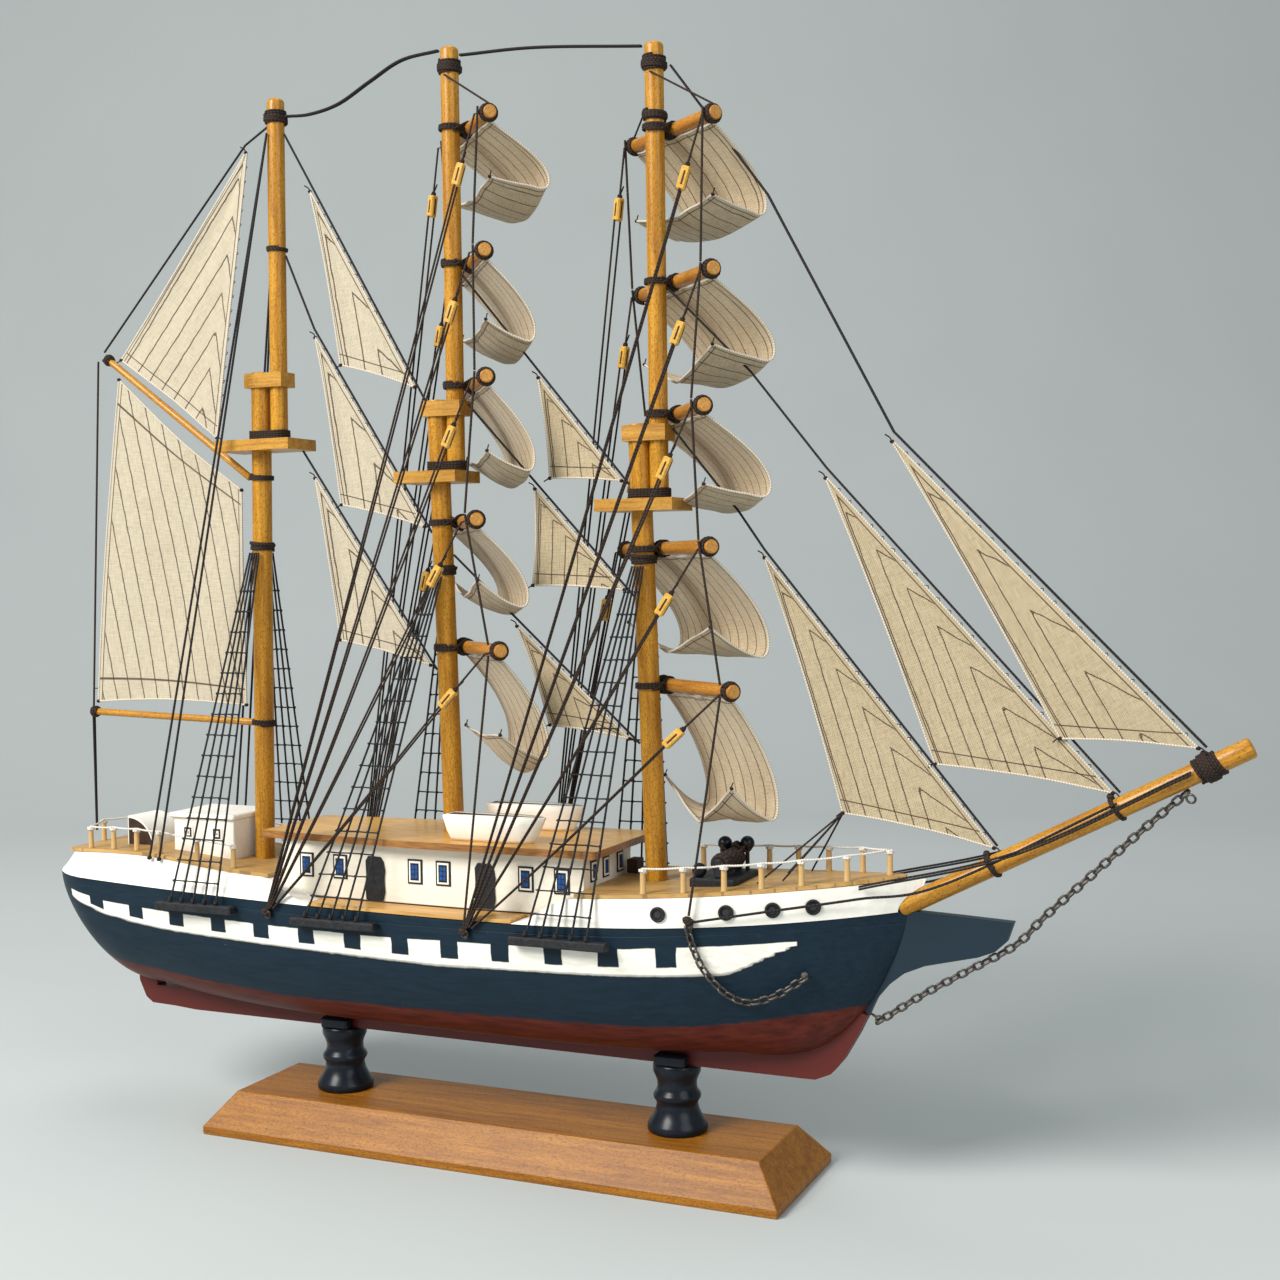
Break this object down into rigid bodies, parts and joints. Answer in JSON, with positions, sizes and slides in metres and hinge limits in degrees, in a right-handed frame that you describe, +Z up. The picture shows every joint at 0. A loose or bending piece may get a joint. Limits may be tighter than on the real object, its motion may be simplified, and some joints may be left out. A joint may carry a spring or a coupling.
{
  "type": "model sailing ship",
  "caption": "Free-standing wooden model sailing ship on a bevelled plinth, with square and fore-and-aft linen sails and full cord rigging.",
  "frame": {"origin": "middle of the plinth's flat underside", "axes": "+X towards the bow along the keel, +Y to port, +Z up"},
  "size_m": [0.4983, 0.0876, 0.4368],
  "materials": {
    "varnished_wood": "satin varnished brown hardwood with open grain",
    "black_gloss": "glossy blue-black lacquer on turned wood",
    "navy_paint": "satin navy paint over wood",
    "red_paint": "satin dark red paint over wood",
    "white_paint": "satin white paint over wood",
    "pale_wood": "clear varnished pale veneer",
    "mast_wood": "golden varnished dowel with flecked grain",
    "black_paint": "black paint with worn edges",
    "blue_panes": "blue panes in white and black frames",
    "iron": "darkened steel wire and screws",
    "linen": "coarse beige linen with brown stitched seams",
    "dark_cord": "twisted dark brown waxed cord",
    "black_thread": "stiff black thread",
    "white_thread": "white cotton thread"
  },
  "bodies": {
    "ship": {"base_plinth": "varnished_wood", "turned_posts": "black_gloss", "post_screws": "iron", "hull": "navy_paint", "keel_board": "red_paint", "cutwater": "navy_paint", "poop_block": "white_paint", "forecastle_block": "white_paint", "waist_deck": "pale_wood", "poop_deck": "pale_wood", "forecastle_deck": "pale_wood", "portholes": "black_paint", "channels": "black_paint", "rigging_eyes": "iron", "deckhouse": "white_paint", "deckhouse_roof": "pale_wood", "doors_and_windows": "blue_panes", "lifeboats": "white_paint", "stern_cabins": "white_paint", "windlass": "black_paint", "rail_posts": "pale_wood", "rail_line": "white_thread", "mizzen_mast": "mast_wood", "main_mast": "mast_wood", "fore_mast": "mast_wood", "mizzen_topmast": "mast_wood", "main_topmast": "mast_wood", "fore_topmast": "mast_wood", "bowsprit": "mast_wood", "mast_platforms": "pale_wood", "mast_caps": "pale_wood", "mast_lashings": "dark_cord", "jibs": "linen", "main_staysails": "linen", "mizzen_staysails": "linen", "shrouds": "black_thread", "standing_rigging": "dark_cord", "fore_braces": "dark_cord", "main_braces": "dark_cord", "spanker_lines": "dark_cord", "bobstay_chain": "iron"},
    "fore_yard_set": {"fore_yards": "mast_wood", "fore_yard_lines": "dark_cord", "fore_sail_1": "linen", "fore_sail_2": "linen", "fore_sail_3": "linen", "fore_sail_4": "linen", "fore_sail_5": "linen"},
    "main_yard_set": {"main_yards": "mast_wood", "main_yard_lines": "dark_cord", "main_sail_1": "linen", "main_sail_2": "linen", "main_sail_3": "linen", "main_sail_4": "linen", "main_sail_5": "linen"},
    "spanker_set": {"boom": "mast_wood", "gaff": "mast_wood", "spanker": "linen", "gaff_topsail": "linen"},
    "anchor_chain": {"anchor_chain": "iron"}
  },
  "joints": [
    {"name": "fore_yards_swing", "type": "hinge", "parent": "ship", "child": "fore_yard_set", "pos_m": [0.0664, 0, 0.285], "axis": [0, 0, 1], "range_deg": [-4, 4], "deforming": ["fore_braces"]},
    {"name": "main_yards_swing", "type": "hinge", "parent": "ship", "child": "main_yard_set", "pos_m": [-0.02124, 0, 0.3], "axis": [0, 0, 1], "range_deg": [-4, 4], "deforming": ["main_braces"]},
    {"name": "spanker_swing", "type": "hinge", "parent": "ship", "child": "spanker_set", "pos_m": [-0.1134, 0, 0.168], "axis": [0.0155, 0, 0.9999], "range_deg": [-8, 8], "deforming": ["spanker_lines"]},
    {"name": "anchor_chain_swing", "type": "hinge", "parent": "ship", "child": "anchor_chain", "pos_m": [0.0925, -0.0314, 0.1014], "axis": [-0.8899, -0.2478, 0.383], "range_deg": [0, 60]}
  ]
}
